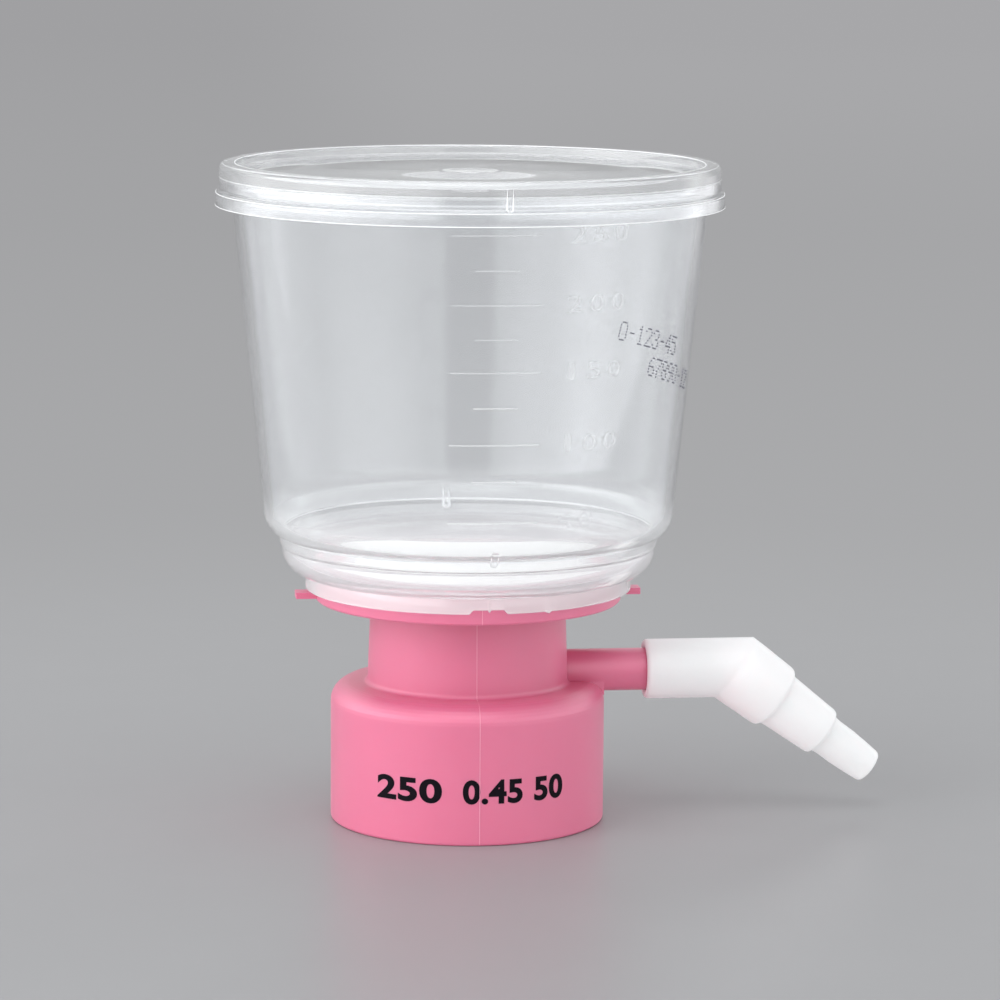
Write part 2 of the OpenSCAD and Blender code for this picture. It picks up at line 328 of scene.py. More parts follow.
seen_paper = mix_colour(tree, mottle, (0.320, 0.321, 0.328), (0.330, 0.331, 0.338))
paint(shader, rays.out("Is Diffuse Ray"), seen_paper, (0.86, 0.86, 0.86))
fix(shader, Roughness=0.38, Specular_IOR_Level=0.22)

# %% The far sheet turns into a tone with painted light falloff
spot = node(tree, "ShaderNodeSeparateXYZ", values={"Vector": place})
distance = (spot * spot + spot.out("Y") * spot.out("Y")) ** 0.5
far = between(tree, distance, 0.12, 0.36)
seen = rays.math("MAXIMUM", rays.out("Is Camera Ray"), rays.out("Is Glossy Ray"))
seen = seen.math("MAXIMUM", seen, rays.out("Is Transmission Ray"))
# Painted light falloff: the tone darkens further away, lightens to the right and, for mirror images,
# glows at the sides.
backdrop = node(tree, "ShaderNodeValToRGB", {"stops": [
    (0.0, (0.415, 0.417, 0.426)), (0.12, (0.393, 0.395, 0.404)), (0.4, (0.368, 0.369, 0.378)),
    (1.0, (0.353, 0.352, 0.362))]}, {"Fac": distance * 0.35})
right = between(tree, spot / distance, 0.03, 0.11)
lighter = 1.0 + right * (0.02 + 0.08 * between(tree, distance, 0.7, 2.6))
sideways = spot.math("ABSOLUTE", spot) / distance
tent = between(tree, sideways, 0.5, 0.8) * between(tree, distance, 0.5, 1.2)
tent = tent * (1.0 - rays.out("Is Camera Ray"))
tone = node(tree, "ShaderNodeEmission", values={
    "Color": backdrop, "Strength": lighter * (1.0 + 3.2 * tent)})
show(tree, mix_shaders(tree, far * seen, shader.outputs["BSDF"], tone.socket))
floor = new_object("studio_floor", sheet, paper)
floor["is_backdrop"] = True
print("floor has", len(sheet.vertices), "points")

# %% [markdown]
# ## Plastics
# The adapter is opaque pink polypropylene: light sinks a little way into it, its colour
# clouds very slightly where the melt met, and its skin is satin with a fine mould grain.
# All of this is worked out from Object coordinates, so nothing slides when a part moves.

# %% Noise and bump
def noise(tree, size, detail=2.0, stretch=(1, 1, 1)):
    """Noise from 0 to 1 whose lumps are about `size` metres across."""
    place = node(tree, "ShaderNodeTexCoord").out("Object")
    scaled = node(tree, "ShaderNodeMapping", values={"Vector": place, "Scale": stretch})
    return node(tree, "ShaderNodeTexNoise", values={
        "Vector": scaled, "Scale": 1.0 / size, "Detail": detail})

def bump(height, shader, depth):
    """Bends the light on a surface by a height of this depth in metres."""
    link(node(height.tree, "ShaderNodeBump", values={
        "Height": height, "Distance": depth, "Strength": 1.0}), shader, "Normal")

# %% Pink plastic
pink, tree, shader = new_material("pink_plastic")
cloud, grain = noise(tree, 9 * mm, 3.0), noise(tree, 0.22 * mm)
paint(shader, cloud, (0.675, 0.142, 0.262), (0.708, 0.156, 0.279))
link(0.4 + 0.1 * cloud + 0.05 * grain, shader, "Roughness")
bump(0.75 * grain + 0.25 * cloud, shader, 0.012 * mm)
fix(shader, Specular_IOR_Level=0.7, Coat_Weight=0.8, Coat_Roughness=0.42, Subsurface_Weight=0.3,
    Subsurface_Radius=(2.2 * mm, 0.7 * mm, 1.0 * mm), Subsurface_Scale=1.0)
print("pink plastic", len(tree.nodes), "nodes")

# %% [markdown]
# The hose connector is a softer natural-white plastic, the membrane a matt felt of fine
# fibres with pores far too small to see, and the seal a dull elastomer.

# %% White plastic
white, tree, shader = new_material("white_plastic")
cloud, grain = noise(tree, 6 * mm), noise(tree, 0.18 * mm)
paint(shader, cloud, (0.86, 0.85, 0.855), (0.895, 0.89, 0.895))
link(0.36 + 0.08 * cloud + 0.06 * grain, shader, "Roughness")
bump(0.8 * grain + 0.2 * cloud, shader, 0.01 * mm)
fix(shader, Subsurface_Weight=0.7, Subsurface_Radius=(3.6 * mm, 3.2 * mm, 3.2 * mm),
    Subsurface_Scale=1.0)
print("white plastic", len(tree.nodes), "nodes")

# %% Membrane
fibre, tree, shader = new_material("membrane_fibre")
felt, pores = noise(tree, 0.35 * mm, 4.0), noise(tree, 0.06 * mm)
paint(shader, felt, (0.93, 0.93, 0.925), (0.97, 0.97, 0.965))
link(0.74 + 0.16 * pores, shader, "Roughness")
bump(0.5 * felt + 0.5 * pores, shader, 0.02 * mm)
print("membrane", len(tree.nodes), "nodes")

# %% Seal
rubber, tree, shader = new_material("seal_rubber")
bloom, grain = noise(tree, 2.5 * mm), noise(tree, 0.12 * mm)
paint(shader, bloom, (0.62, 0.61, 0.58), (0.70, 0.69, 0.66))
link(0.52 + 0.18 * bloom, shader, "Roughness")
bump(grain, shader, 0.015 * mm)
print("seal", len(tree.nodes), "nodes")

# %% Ink
ink, tree, shader = new_material("black_ink")
streak = noise(tree, 0.5 * mm, 3.0, (1, 1, 0.3))
paint(shader, streak, (0.003, 0.0025, 0.004), (0.009, 0.007, 0.011))
link(0.5 + 0.2 * streak, shader, "Roughness")
fix(shader, Specular_IOR_Level=0.06)
bump(streak, shader, 0.006 * mm)
print("ink", len(tree.nodes), "nodes")

# %% [markdown]
# The funnel and lid are clear polystyrene. It is glass-like, but a moulded wall is never
# perfectly clear: a little of the light that meets it is scattered, which is why a clear
# beaker looks brighter than the grey behind it. Full transmission would only show the
# background, so a small part is left to the diffuse layer, and long faint flow marks from
# the mould vary its roughness and bend the reflections. The lid's plate and rim and
# the funnel's foot are milkier, because they are thick, full of edges or a little grained,
# so a milky layer is blended in there by height and by distance from the axis.

# %% Clear plastic
def clear_layer(tree, shader, through, ripple):
    """Gives a shader the look of a moulded wall that lets `through` of the light pass."""
    flow, haze = noise(tree, 14 * mm, 2.0, (1, 1, 0.25)), noise(tree, 5 * mm, 3.0)
    paint(shader, haze, (0.955, 0.965, 0.975), (0.975, 0.985, 0.995))
    link(0.02 + 0.03 * haze, shader, "Roughness")
    bump(flow, shader, ripple)
    fix(shader, IOR=1.57, Transmission_Weight=through)

def clear_blend(tree, shader, milky, veil):
    """Blends a clear and a milky layer by the factor `veil`. The light of the lamps passes
    through both, so that the clear parts throw no dark shadow."""
    blend = mix_shaders(tree, veil, shader.outputs["BSDF"], milky.outputs["BSDF"])
    let_through = node(tree, "ShaderNodeBsdfTransparent", values={"Color": (0.995, 0.998, 1.0, 1)})
    lamp_ray = node(tree, "ShaderNodeLightPath").out("Is Shadow Ray")
    show(tree, mix_shaders(tree, lamp_ray, blend, let_through.socket))

def place_in(tree):
    """Distance from the axis and height of the shaded point."""
    place = node(tree, "ShaderNodeTexCoord").out("Object")
    place = node(tree, "ShaderNodeSeparateXYZ", values={"Vector": place})
    return (place * place + place.out("Y") * place.out("Y")) ** 0.5, place.out("Z")

# %% Lid: clear skirt, milky plate and rim
clear_lid, tree, shader = new_material("clear_lid")
clear_layer(tree, shader, 0.945, 0.003 * mm)
milky = tree.nodes.new("ShaderNodeBsdfPrincipled")
clear_layer(tree, milky, 0.76, 0.003 * mm)
away, height = place_in(tree)
rim = between(tree, away, 39.6 * mm, 41.2 * mm)
above_skirt = between(tree, height, 112.6 * mm, 114.0 * mm)
in_plate, more_in_rim = 0.42, 0.43
clear_blend(tree, shader, milky, 0.06 + (in_plate + more_in_rim * rim) * above_skirt)
print("clear lid", len(tree.nodes), "nodes")

# %% Funnel: clear wall, milky foot with a painted pink glow
clear, tree, shader = new_material("clear_plastic")
clear_layer(tree, shader, 0.95, 0.05 * mm)
milky = tree.nodes.new("ShaderNodeBsdfPrincipled")
clear_layer(tree, milky, 0.57, 0.02 * mm)
height = place_in(tree)[1]
above_bowl = between(tree, height, 46.0 * mm, 51.5 * mm)
# Below the bowl the milky layer is tinted pink: a painted glow of the pink flange seen through the
# skirt.
paint(milky, above_bowl, (0.985, 0.95, 0.966), (0.98, 0.985, 0.99))
above_shoulder = between(tree, height, 53.0 * mm, 59.0 * mm)
above_flange = between(tree, height, 43.8 * mm, 45.2 * mm)
clear_blend(tree, shader, milky, 0.45 * (1.0 - above_shoulder) + 0.45 * (1.0 - above_flange))
print("clear plastic", len(tree.nodes), "nodes")

# %% Frosted marks, fine lines with a painted highlight, painted edge highlights, sprayed ink and the parting line's painted highlight
def mark(name, dark, light, roughness, size=0.4 * mm, uneven=0.2):
    """A thin mark whose colour and roughness vary with a speckle of this size."""
    made, tree, shader = new_material(name)
    speckle = noise(tree, size)
    paint(shader, speckle, dark, light)
    link(roughness + uneven * speckle, shader, "Roughness")
    return made, tree, shader, speckle

frost, tree, shader, speckle = mark("frosted_mark", (0.90, 0.92, 0.94), (0.97, 0.98, 0.99), 0.35)
link(0.15 + 0.12 * speckle, shader, "Alpha")

# The raised scale lines are clear ridges drawn as faint white: a painted highlight, patchy and fainter
# towards the top.
fine, tree, shader, speckle = mark("fine_line", (0.92, 0.94, 0.96), (0.98, 0.99, 0.99), 0.3)
patchy_glint, high = noise(tree, 9 * mm, 1.0), between(tree, place_in(tree)[1], 76 * mm, 88 * mm)
link((0.2 + 0.35 * patchy_glint) * (1.0 - 0.5 * high), shader, "Alpha")

# Painted edge highlight: a near-white, nearly opaque mark with a faint glow, laid where edges catch
# the light.
painted_edge_glint, tree, shader, speckle = mark("painted_edge_highlight", (0.96, 0.97, 0.98), (0.99, 0.99, 1.0), 0.2)
link(0.8 + 0.2 * speckle, shader, "Alpha")
fix(shader, Emission_Color=(0.93, 0.96, 1.0, 1), Emission_Strength=0.15)

sprayed, tree, shader, speckle = mark(
    "sprayed_ink", (0.13, 0.13, 0.17), (0.24, 0.24, 0.29), 0.5, 0.5 * mm)
link(0.55 + 0.5 * speckle, shader, "Alpha")

# The parting line is a real raised bead, coloured a paler pink than the adapter as a painted highlight
# along it.
seam_highlight = mark("pink_seam", (0.80, 0.32, 0.45), (0.85, 0.38, 0.51), 0.3, 4 * mm, 0.15)[0]
print("marks", frost.name, fine.name, painted_edge_glint.name, sprayed.name, seam_highlight.name)

# %% CAD nodes take their finish
for name, material in (("adapter", pink), ("membrane", fibre), ("seal_ring", rubber)):
    nodes[name].data.materials.clear()
    nodes[name].data.materials.append(material)
    print(name, "wears", material.name)

new_pieces = []

def attach(piece, body, slot, *replaced):
    new_pieces.append(piece)
    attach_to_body(piece, body)
    if replaced:
        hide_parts(*replaced)
    print(piece.name, len(piece.data.vertices), "points,", len(piece.data.polygons), "faces, on", body)

# %% [markdown]
# ## Turned pieces
# The funnel and the lid are turned shapes: one outline, repeated round the axis. Spinning
# it by hand in mesh code would work, but a lathe in Geometry Nodes keeps the outline, the
# number of steps and the material as inputs that can be changed later. Its steps crowd
# together at the front and the back, where the small lugs and the notch are.

# %% Trees with named inputs
def new_tree(name, inputs):
    """An empty Geometry Nodes group with a geometry in, a geometry out and named inputs."""
    made = bpy.data.node_groups.new(name, "GeometryNodeTree")
    made.interface.new_socket("Geometry", in_out="INPUT", socket_type="NodeSocketGeometry")
    made.interface.new_socket("Geometry", in_out="OUTPUT", socket_type="NodeSocketGeometry")
    for label, kind in inputs.items():
        made.interface.new_socket(label, in_out="INPUT", socket_type="NodeSocket" + kind)
    start = made.nodes.new("NodeGroupInput")
    return made, {s.name: Value(made, s) for s in start.outputs if s.name}

def close_tree(tree, geometry, material):
    """Ends a tree in Realize Instances and Set Material."""
    real = node(tree, "GeometryNodeRealizeInstances", values={"Geometry": geometry})
    done = node(tree, "GeometryNodeSetMaterial", values={"Geometry": real, "Material": material})
    end = tree.nodes.new("NodeGroupOutput")
    tree.links.new(done.socket, end.inputs["Geometry"])
    print(tree.name, "tree has", len(tree.nodes), "nodes")

# %% Plain meshes
def plain_mesh(host):
    """The final mesh of an object, which is then removed."""
    bpy.context.view_layer.update()
    final = host.evaluated_get(bpy.context.evaluated_depsgraph_get())
    made = bpy.data.meshes.new_from_object(final)
    bpy.data.objects.remove(host)
    return made

def line_mesh(name, points, closed=False):
    """A path as the edges of a mesh, in metres."""
    mesh, count = bpy.data.meshes.new(name), len(points)
    edges = [(i, (i + 1) % count) for i in range(count if closed else count - 1)]
    mesh.from_pydata([tuple(p) for p in points], edges, [])
    return mesh

# %% From a tree to a plain mesh
def grow(name, mesh, tree, values, smooth_angle=32):
    """Runs a tree on a mesh. The result is a plain mesh, as an object at the origin."""
    host = new_object(name + "_seed", mesh)
    modifier = host.modifiers.new("grow", "NODES")
    modifier.node_group = tree
    for item in tree.interface.items_tree:
        if item.in_out == "INPUT" and item.name in values:
            modifier[item.identifier] = values[item.name]
    grown = plain_mesh(host)
    grown.name = name
    tidy = bmesh.new()
    tidy.from_mesh(grown)
    bmesh.ops.delete(tidy, geom=[e for e in tidy.edges if not e.link_faces], context="EDGES")
    tidy.to_mesh(grown)
    tidy.free()
    return new_object(name, shade(grown, smooth_angle))

def shade(mesh, smooth_angle):
    """Smooth shading, with the edges that are sharper than the angle kept crisp."""
    mesh.polygons.foreach_set("use_smooth", [True] * len(mesh.polygons))
    mesh.set_sharp_from_angle(angle=math.radians(smooth_angle))
    return mesh

# %% The lathe
lathe, given = new_tree("lathe", {"Steps": "Int", "Crowding": "Float", "Material": "Material"})
counted = node(lathe, "GeometryNodeAttributeDomainSize", {"component": "MESH"},
               {"Geometry": given["Geometry"]})
rows = counted + 1
grid = node(lathe, "GeometryNodeMeshGrid", values={
    "Size X": 1.0, "Size Y": 1.0, "Vertices X": given["Steps"] + 1, "Vertices Y": rows})
index = node(lathe, "GeometryNodeInputIndex")
ratio = index / rows
step = ratio.math("FLOOR", ratio)
along = index - step * rows
outline = node(lathe, "GeometryNodeSampleIndex", {"data_type": "FLOAT_VECTOR", "domain": "POINT"}, {
    "Geometry": given["Geometry"], "Value": node(lathe, "GeometryNodeInputPosition"),
    "Index": along.math("MODULO", along, counted)})
radius = node(lathe, "ShaderNodeSeparateXYZ", values={"Vector": outline})
even = step / given["Steps"] * (2 * math.pi)
twice = even * 2
turn = even + twice.math("SINE", twice) * given["Crowding"] * 0.5
spot = node(lathe, "ShaderNodeCombineXYZ", values={
    "X": radius * turn.math("COSINE", turn), "Y": radius * turn.math("SINE", turn),
    "Z": radius.out("Z")})
turned = node(lathe, "GeometryNodeSetPosition", values={"Geometry": grid, "Position": spot})
closed = node(lathe, "GeometryNodeMergeByDistance", values={"Geometry": turned, "Distance": 0.5e-6})
close_tree(lathe, closed, given["Material"])

# %% Spinning an outline
def spin(name, outline, material, steps=256):
    """Turns a closed outline of (radius, height), in millimetres, round the axis."""
    points = [(max(r, 0.0) * mm, 0.0, z * mm) for r, z in outline]
    return grow(name, line_mesh(name + "_outline", points, closed=True), lathe,
                {"Steps": steps, "Crowding": 0.75, "Material": material})

# %% Outlines
def arc(centre, r, start, end, steps):
    """Points of an arc in an outline, as (radius, height), in millimetres and degrees."""
    turns = [math.radians(start + (end - start) * i / steps) for i in range(steps + 1)]
    return [(centre[0] + r * math.cos(t), centre[1] + r * math.sin(t)) for t in turns]

def soften(corners, steps=4):
    """Rounds the corners of a closed outline: (radius, height) or (radius, height, rounding)."""
    made, count = [], len(corners)
    for i, corner in enumerate(corners):
        p = Vector(corner[:2])
        rounding = corner[2] if len(corner) > 2 else 0.0
        back, ahead = Vector(corners[i - 1][:2]) - p, Vector(corners[(i + 1) % count][:2]) - p
        if rounding <= 0:
            made.append(tuple(p))
            continue
        cut = min(rounding, 0.45 * back.length, 0.45 * ahead.length)
        a, b = p + back.normalized() * cut, p + ahead.normalized() * cut
        for k in range(steps + 1):
            t = k / steps
            made.append(tuple(a * (1 - t) ** 2 + p * (2 * t * (1 - t)) + b * t ** 2))
    return made

# %% Small features pushed into a turned wall
def around(point):
    """Azimuth in degrees (0 at the front, growing towards +X), radius and height in mm."""
    return math.degrees(math.atan2(point.x, -point.y)), math.hypot(point.x, point.y) / mm, point.z / mm

def push(mesh, moved):
    """Moves vertices of a turned mesh: `moved` gives (outwards, upwards) in mm, or None."""
    count = 0
    for vertex in mesh.vertices:
        shift = moved(*around(vertex.co))
        if shift:
            out = Vector((vertex.co.x, vertex.co.y, 0)).normalized()
            vertex.co += out * shift[0] * mm + Vector((0, 0, shift[1] * mm))
            count += 1
    mesh.update()
    return count

def apart(azimuth, centre):
    """How far apart two azimuths are, in degrees from -180 to 180."""
    return (azimuth - centre + 180) % 360 - 180

# %% [markdown]
# The funnel is one moulding: a skirt that is welded over the flange, a rounded bowl, a
# collar, a curved shoulder and a wall that leans out by one in ten up to a bead. Its
# outline runs up the outside and down the inside, so the wall has its real thickness:
# clear plastic only looks right when light enters and leaves through two surfaces.

# %% Funnel
top, skirt, mouth = flange_top / mm, skirt_z / mm, mouth_z / mm
bowl, bowl_r = (28.3, 48.5), 4.5
shoulder, shoulder_r, shoulder_foot = (30.9, 55.4), 5.1, -61.9
wall_heights = (58.5, 61, 65, 70, 75, 80, 85, 90, 95, 100, 105)
funnel_outline = soften(
    [(26.95, skirt, 0.12), (28.8, skirt, 0.3)]
    + arc(bowl, bowl_r, -88, 0, 16)
    + [(32.9, 49.0, 0.15), (33.3, 49.8, 0.2)]
    + arc(shoulder, shoulder_r, shoulder_foot, 0, 16)
    + [(wall_r(z), z) for z in wall_heights]
    + [(41.64, 111.8, 0.3), (42.14, 112.2, 0.2), (42.14, mouth, 0.35), (40.29, mouth, 0.3)]
    + [(wall_r(z) - wall_thick, z) for z in reversed(wall_heights)]
    + arc(shoulder, shoulder_r - wall_thick, 0, shoulder_foot, 16)
    + [(32.42, 51.7), (32.24, 51.1), (32.05, 50.5), (31.9, 50.0), (31.8, 49.6, 0.2), (31.3, 49.2, 0.2)]
    + arc(bowl, bowl_r - wall_thick, 0, -78, 12)
    + [(23.9, 45.2, 0.2), (23.5, 44.8, 0.2), (23.5, top + 0.03, 0.05), (26.95, top + 0.03, 0.05)])
funnel = spin("funnel_shell", funnel_outline, clear)

# %% Lugs, notch and pip of the funnel
front_lug, back_lug, pip = 1.2, -179.2, 22.4
notch, notch_half, notch_depth, notch_slope = 0.6, 6.5, 0.72, 1.1

def lug(azimuth, centre, half_width, low, high, z):
    """1 inside a lug with a round foot, 0 outside."""
    across = abs(apart(azimuth, centre)) / half_width
    if across > 1 or z > high:
        return 0.0
    foot_rise = 1.2 * (1 - math.sqrt(1 - across ** 2))
    return 1.0 if z > low + foot_rise else 0.0

def shape_funnel(azimuth, r, z):
    """The lugs stand in from the shoulder, the notch is cut up into the skirt's foot."""
    if 49.4 < z < 54.5 and 30 < r < 33.0 + 0.75 * max(0.0, z - 51.5):
        depth = 0.08 * lug(azimuth, front_lug, 1.1, 50.0, 53.3, z)
        depth += 0.3 * lug(azimuth, back_lug, 1.1, 50.2, 54.4, z)
        if depth:
            return -depth, 0.0
    if z < skirt + 0.35 and r > 26.5:
        side = abs(apart(azimuth, notch))
        if side < notch_half:
            tip = 0.35 if abs(apart(azimuth, 0.95)) < 0.45 else 0.0
            return 0.0, notch_depth * min(1.0, (notch_half - side) / notch_slope) - tip
        if abs(apart(azimuth, pip)) < 0.4 and r > 28.3:
            return 0.25, -0.3
    return None

print("shaped", push(funnel.data, shape_funnel), "points of the funnel")
attach(funnel, "unit", "clear_plastic", "funnel")

# %% [markdown]
# The lid has a flat plate a little below its rounded rim, the dimple and the two pips
# of the mould's gate and ejectors in its middle, and a skirt that steps out over the
# funnel's bead. Its two vents are not cut into it: their ends are drawn later only as painted
# highlights.

# %% Lid
lid_outline = soften(
    [(0.0, 113.4), (10.0, 113.4), (30.0, 113.4), (42.29, 113.4, 0.15)]
    + [(42.29, 111.3, 0.1), (43.04, 110.7, 0.15), (43.09, 108.7, 0.15), (44.34, 108.7, 0.2),
       (44.24, 110.9, 0.3), (43.69, 111.5, 0.3), (43.59, 116.1, 1.2), (40.79, 116.1, 0.5),
       (40.79, 114.6, 0.2), (30.0, 114.6), (5.9, 114.6), (5.5, 114.55, 0.2), (4.9, 114.3, 0.2),
       (1.3, 114.28), (1.0, 114.42, 0.1), (0.0, 114.46)])
lid = spin("lid_shell", lid_outline, clear_lid)
attach(lid, "cover", "clear_plastic", "lid")

# %% [markdown]
# ## The moulded scale
# Nine raised lines show the volume, a long one for every 50 and a short one between.
# They are one line made longer or shorter, so one tree places a straight line on each
# point of a small table, bends them all round the leaning wall and sweeps a thin round
# bead along them.

# %% Bending a flat drawing on to the wall
on_wall = {"Radius": wall_foot_r * mm, "From": wall_foot_z * mm, "Taper": wall_taper}

def bend_on_wall(tree, given, geometry):
    """Bends a flat drawing round the leaning wall: X runs along the wall, Z is the height."""
    flat = node(tree, "GeometryNodeInputPosition")
    flat = node(tree, "ShaderNodeSeparateXYZ", values={"Vector": flat})
    wall = given["Radius"] + (flat.out("Z") - given["From"]) * given["Taper"]
    turn = flat / wall
    bent = node(tree, "ShaderNodeCombineXYZ", values={
        "X": wall * turn.math("SINE", turn), "Y": 0.0 - wall * turn.math("COSINE", turn),
        "Z": flat.out("Z")})
    return node(tree, "GeometryNodeSetPosition", values={"Geometry": geometry, "Position": bent})

# %% Scale lines
scale, given = new_tree("scale_lines", {
    "Radius": "Float", "From": "Float", "Taper": "Float", "Bead": "Float", "Material": "Material"})
stroke = node(scale, "GeometryNodeMeshLine", {"mode": "END_POINTS"}, {
    "Count": 33, "Start Location": (-0.5, 0, 0), "Offset": (0.5, 0, 0)})
stroke = node(scale, "GeometryNodeMeshToCurve", values={"Mesh": stroke})
span = node(scale, "GeometryNodeInputNamedAttribute", {"data_type": "FLOAT"}, {"Name": "span"})
size = node(scale, "ShaderNodeCombineXYZ", values={"X": span, "Y": 1.0, "Z": 1.0})
placed = node(scale, "GeometryNodeInstanceOnPoints", values={
    "Points": given["Geometry"], "Instance": stroke, "Scale": size})
placed = node(scale, "GeometryNodeRealizeInstances", values={"Geometry": placed})
bent = bend_on_wall(scale, given, placed)
bead = node(scale, "GeometryNodeCurvePrimitiveCircle", values={
    "Resolution": 10, "Radius": given["Bead"]})
swept = node(scale, "GeometryNodeCurveToMesh", values={
    "Curve": bent, "Profile Curve": bead, "Fill Caps": True})
close_tree(scale, swept, given["Material"])

# %% The table of volumes
long_line, short_line = 15.2, 7.3
levels = (58.3, 65.4, 71.7, 78.0, 84.0, 89.6, 95.4, 101.2, 107.1)
table = bpy.data.meshes.new("scale_table")
table.from_pydata([(0, 0, z * mm) for z in levels], [], [])
lengths = [(short_line if i % 2 else long_line) * mm for i in range(len(levels))]
table.attributes.new("span", "FLOAT", "POINT").data.foreach_set("value", lengths)
marks = grow("scale_marks", table, scale, {**on_wall, "Bead": 0.13 * mm, "Material": fine})
attach(marks, "unit", "clear_plastic")

# %% [markdown]
# ## Numbers
# Numbers are easiest as a text object. It is made a flat mesh first, because a text
# object can't be bent, then cut into narrow strips so that it can follow the curve, and
# wrapped round the wall last.

# %% Text as a flat solid
def flat_number(name, text, width, height, thickness, weight=0.0, gap=1.0):
    """A solid number with its middle at x = 0 and its foot at y = 0, in metres."""
    face = bpy.data.curves.new(name, "FONT")
    face.body, face.space_character, face.offset = text, gap, weight
    face.resolution_u, face.extrude = 6, 0.5
    mesh = plain_mesh(new_object(name + "_text", face))
    place = np.empty(len(mesh.vertices) * 3)
    mesh.vertices.foreach_get("co", place)
    place = place.reshape(-1, 3)
    low, high = place.min(axis=0), place.max(axis=0)
    place = (place - (low + high) / 2) / (high - low)
    place[:, 1] += 0.5
    mesh.vertices.foreach_set("co", (place * (width, height, thickness)).ravel())
    return mesh

# %% Wrapping a flat solid round the axis
def wrap(mesh, radius, azimuth, foot, taper=0.0, strip=0.45 * mm):
    """Bends a flat solid on to a wall of this radius at its foot, all in metres and degrees."""
    solid = bmesh.new()
    solid.from_mesh(mesh)
    bmesh.ops.remove_doubles(solid, verts=solid.verts, dist=1e-6)
    half = max(abs(v.co.x) for v in solid.verts)
    for i in range(1, int(2 * half / strip)):
        geometry = solid.verts[:] + solid.edges[:] + solid.faces[:]
        bmesh.ops.bisect_plane(
            solid, geom=geometry, plane_co=(i * strip - half, 0, 0), plane_no=(1, 0, 0))
    for v in solid.verts:
        r = radius + taper * v.co.y + v.co.z
        turn = math.radians(azimuth) + v.co.x / radius
        v.co = (r * math.sin(turn), -r * math.cos(turn), foot + v.co.y)
    solid.to_mesh(mesh)
    solid.free()
    return mesh

def join(name, meshes, material, smooth_angle=30):
    """One object from several meshes."""
    solid = bmesh.new()
    for mesh in meshes:
        solid.from_mesh(mesh)
    whole = bpy.data.meshes.new(name)
    solid.to_mesh(whole)
    solid.free()
    return new_object(name, shade(whole, smooth_angle), material)

# %% Digits of the scale
digit_w, digit_h, digit_thick, digit_pitch, digits_start = 2.6, 2.9, 0.3, 4.26, 19.4
narrow_one = 0.45
digits = []
for number, level in zip(("50", "100", "150", "200", "250"), levels[::2]):
    foot = level - digit_h / 2
    for place, digit in enumerate(number):
        turn = digits_start + math.degrees(place * digit_pitch / wall_r(foot))
        width = digit_w * (narrow_one if digit == "1" else 1.0)
        mesh = flat_number("scale_digit", digit, width * mm, digit_h * mm, digit_thick * mm)
        digits.append(wrap(mesh, (wall_r(foot) + 0.1) * mm, turn, foot * mm, wall_taper))
attach(join("scale_digits", digits, frost), "unit", "clear_plastic")

# %% Printed numbers on the cap
print_h, print_foot, print_thick = 4.3, 7.4, 0.06
prints = []
for text, width, azimuth in (("250", 12.5, -31.5), ("0.45 50", 18.9, 14.2)):
    mesh = flat_number("cap_number", text, width * mm, print_h * mm, print_thick * mm,
                       weight=0.034, gap=1.05)
    prints.append(wrap(mesh, cap_r, azimuth, print_foot * mm))
attach(join("cap_numbers", prints, ink), "unit", "pink_plastic")

# %% [markdown]
# A code of small dots is sprayed on the wall after moulding, a little askew. The digits
# come from a grid of five by seven dots and are plain numbers that stand for no real lot.
# The tree bends the flat rows round the tapered wall and puts a dot on every point.

# %% Dots on the wall
dotting, given = new_tree("dots_on_wall", {
    "Radius": "Float", "From": "Float", "Taper": "Float", "Dot": "Float", "Material": "Material"})
bent = bend_on_wall(dotting, given, given["Geometry"])
dot = node(dotting, "GeometryNodeMeshIcoSphere", values={"Radius": given["Dot"], "Subdivisions": 2})
dots = node(dotting, "GeometryNodeInstanceOnPoints", values={"Points": bent, "Instance": dot})
close_tree(dotting, dots, given["Material"])

# %% Rows of the code
# Each digit is seven rows from the top, and the bits of a row are its five columns.
dot_grid = {
    "0": (14, 17, 17, 17, 17, 17, 14), "1": (4, 12, 4, 4, 4, 4, 14), "2": (14, 17, 1, 2, 4, 8, 31),
    "3": (14, 17, 1, 6, 1, 17, 14), "4": (2, 6, 10, 18, 31, 2, 2), "5": (31, 16, 30, 1, 1, 17, 14),
    "6": (6, 8, 16, 30, 17, 17, 14), "7": (31, 1, 2, 4, 8, 8, 8), "8": (14, 17, 17, 14, 17, 17, 14),
    "9": (14, 17, 17, 15, 1, 2, 12), "-": (0, 0, 0, 14, 0, 0, 0)}
digit_step, column_step, row_step = 2.2, 0.38, 0.5
lean = math.radians(-14.5)
spots = []
for text, start, middle_z in (("0-123-45", 22.9, 90.4), ("67890-12", 30.6, 83.6)):
    for place, sign in enumerate(text):
        for row, bits in enumerate(dot_grid[sign]):
            for column in range(5):
                if bits >> (4 - column) & 1:
                    along, high = place * digit_step + column * column_step, (3 - row) * row_step
                    x = start + along * math.cos(lean) - high * math.sin(lean)
                    z = middle_z + along * math.sin(lean) + high * math.cos(lean)
                    spots.append((x * mm, 0, z * mm))
code_table = bpy.data.meshes.new("code_table")
code_table.from_pydata(spots, [], [])
code = grow("wall_code", code_table, dotting, {**on_wall, "Dot": 0.15 * mm, "Material": sprayed})
attach(code, "unit", "clear_plastic")

# %% [markdown]
# ## Thread and parting line
# A 45 mm bottle thread runs inside the cap, and a fine raised line runs up the front and
# the back of the adapter, where the two halves of its mould met. Both are a bead swept
# along a path, so they share one tree: its bead swells from the ends of the path.

